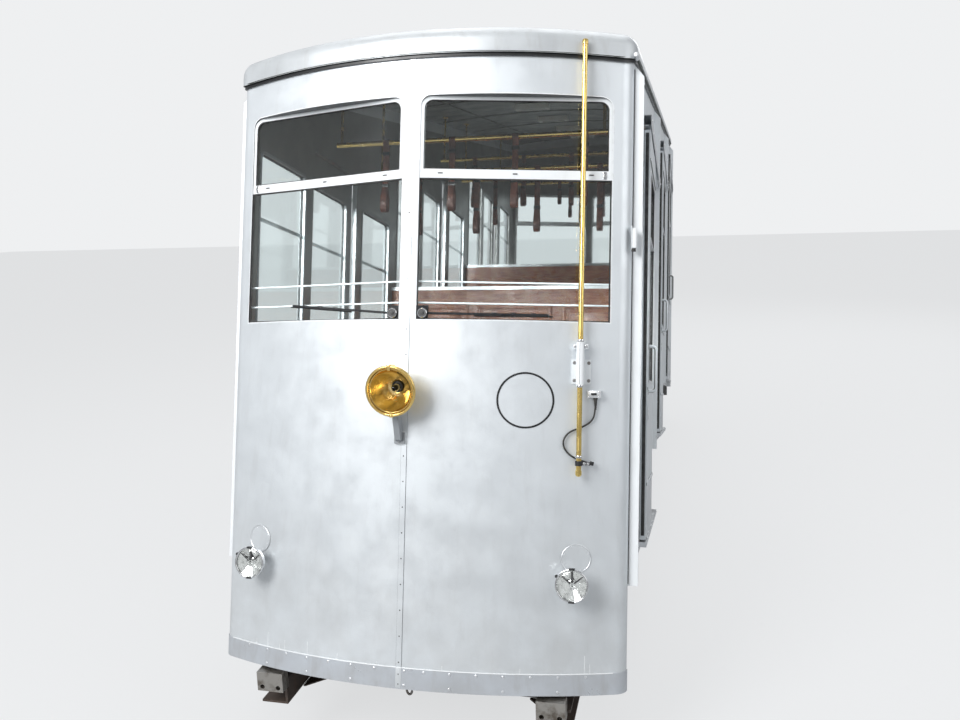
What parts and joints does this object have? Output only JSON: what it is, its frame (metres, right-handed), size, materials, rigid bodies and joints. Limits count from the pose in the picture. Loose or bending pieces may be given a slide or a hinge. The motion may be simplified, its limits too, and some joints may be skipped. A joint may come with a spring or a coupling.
{
  "type": "stepped funicular car",
  "caption": "Silver funicular car with a bowed glazed front, stepped level floors under a sloping roof, sliding doors and flanged wheelsets.",
  "frame": {"origin": "on the ground under the middle of the car's plan, without the signal cable", "axes": "+X to the right seen from the downhill front, +Y up the track, +Z square to the rails; the wheels stand on Z 0"},
  "size_m": [2.408, 8.8617, 3.8144],
  "materials": {
    "silver_paint": "satin",
    "white_paint": "satin",
    "roof_paint": "matte",
    "grey_paint": "satin",
    "black_paint": "satin",
    "frame_steel": "matte",
    "wheel_steel": "satin",
    "brass": "polished",
    "chrome": "polished",
    "aluminium": "satin",
    "glass": "clear",
    "lens_glass": "clear",
    "varnished_wood": "satin",
    "floor_cover": "matte",
    "lamp_white": "satin",
    "black_rubber": "matte"
  },
  "bodies": {
    "car_body": {"apron_bands": "silver_paint", "axle_boxes": "frame_steel", "benches": "varnished_wood", "brake_handwheels": "brass", "cable_clamp": "black_paint", "cable_socket": "aluminium", "ceiling_grab_rails": "brass", "ceiling_lights": "lamp_white", "centre_strips": "silver_paint", "cover_plates": "silver_paint", "cross_members": "frame_steel", "door_rails": "aluminium", "driver_desks": "grey_paint", "end_wall_front": "silver_paint", "end_wall_rear": "silver_paint", "gutter_strip": "black_paint", "haul_rope_anchor": "frame_steel", "headlamp_bulbs": "lens_glass", "headlamp_shells": "brass", "jacking_blocks": "frame_steel", "lamp_brackets": "grey_paint", "longitudinal_beams": "frame_steel", "marker_lamp_lenses": "lens_glass", "marker_lamp_shells": "chrome", "number_rings": "black_paint", "partition_caps": "aluminium", "partitions": "varnished_wood", "pole_guide": "aluminium", "roof": "roof_paint", "side_glass": "glass", "side_posts": "white_paint", "side_wall_left": "silver_paint", "side_wall_right": "silver_paint", "signal_cable": "black_rubber", "signal_pole": "brass", "step_frames": "frame_steel", "stepped_floor": "floor_cover", "track_brakes": "frame_steel", "window_frames": "white_paint", "window_guard_bars": "white_paint", "windscreen_glass": "glass", "wipers": "black_paint"},
    "wheelset_downhill": {"wheelset_downhill": "wheel_steel"},
    "wheelset_uphill": {"wheelset_uphill": "wheel_steel"},
    "sliding_door_left_1": {"door_glass_left_1": "glass", "door_left_1": "silver_paint"},
    "sliding_door_left_2": {"door_glass_left_2": "glass", "door_left_2": "silver_paint"},
    "sliding_door_left_3": {"door_glass_left_3": "glass", "door_left_3": "silver_paint"},
    "sliding_door_right_1": {"door_glass_right_1": "glass", "door_right_1": "silver_paint"},
    "sliding_door_right_2": {"door_glass_right_2": "glass", "door_right_2": "silver_paint"},
    "sliding_door_right_3": {"door_glass_right_3": "glass", "door_right_3": "silver_paint"}
  },
  "joints": [
    {"name": "wheelset_downhill_spin", "type": "hinge", "parent": "car_body", "child": "wheelset_downhill", "pos_m": [0, -3.38708, 0.255], "axis": [1, 0, 0], "continuous": true},
    {"name": "wheelset_uphill_spin", "type": "hinge", "parent": "car_body", "child": "wheelset_uphill", "pos_m": [0, 1.71292, 0.255], "axis": [1, 0, 0], "continuous": true},
    {"name": "door_left_1_slide", "type": "slide", "parent": "car_body", "child": "sliding_door_left_1", "axis": [0, 0.9744, -0.225], "range_m": [0, 0.76]},
    {"name": "door_left_2_slide", "type": "slide", "parent": "car_body", "child": "sliding_door_left_2", "axis": [0, 0.9744, -0.225], "range_m": [0, 0.76]},
    {"name": "door_left_3_slide", "type": "slide", "parent": "car_body", "child": "sliding_door_left_3", "axis": [0, 0.9744, -0.225], "range_m": [0, 0.76]},
    {"name": "door_right_1_slide", "type": "slide", "parent": "car_body", "child": "sliding_door_right_1", "axis": [0, 0.9744, -0.225], "range_m": [0, 0.76]},
    {"name": "door_right_2_slide", "type": "slide", "parent": "car_body", "child": "sliding_door_right_2", "axis": [0, 0.9744, -0.225], "range_m": [0, 0.76]},
    {"name": "door_right_3_slide", "type": "slide", "parent": "car_body", "child": "sliding_door_right_3", "axis": [0, 0.9744, -0.225], "range_m": [0, 0.76]}
  ]
}
